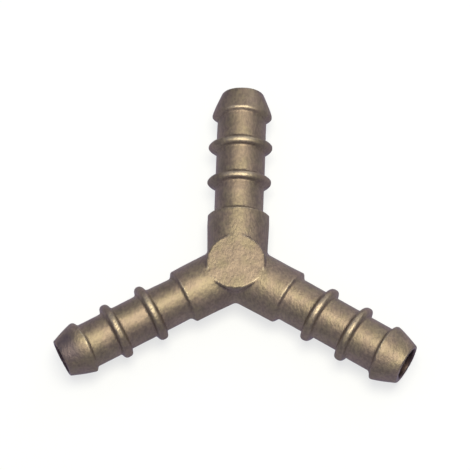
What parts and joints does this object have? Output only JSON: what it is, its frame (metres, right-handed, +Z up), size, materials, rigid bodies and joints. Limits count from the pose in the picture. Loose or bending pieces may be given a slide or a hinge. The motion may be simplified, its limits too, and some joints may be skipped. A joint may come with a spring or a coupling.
{
  "type": "y hose barb connector",
  "caption": "Flat Y-shaped forged brass hose connector: barbed arms at equal angles from a thick hub with round bosses, drilled through, to join hoses.",
  "frame": {"origin": "where the axes of the bores meet, at mid thickness in the parting plane of the forging", "axes": "+Z is up and square to the flat Y, +Y runs along the top arm towards its tip, +X is to the right"},
  "size_m": [0.0536, 0.0466, 0.0072],
  "materials": {
    "forged_brass": "as forged and blasted, dull brown brass with a fine grain"
  },
  "bodies": {
    "root": {"y_connector_body": "forged_brass"}
  },
  "joints": []
}
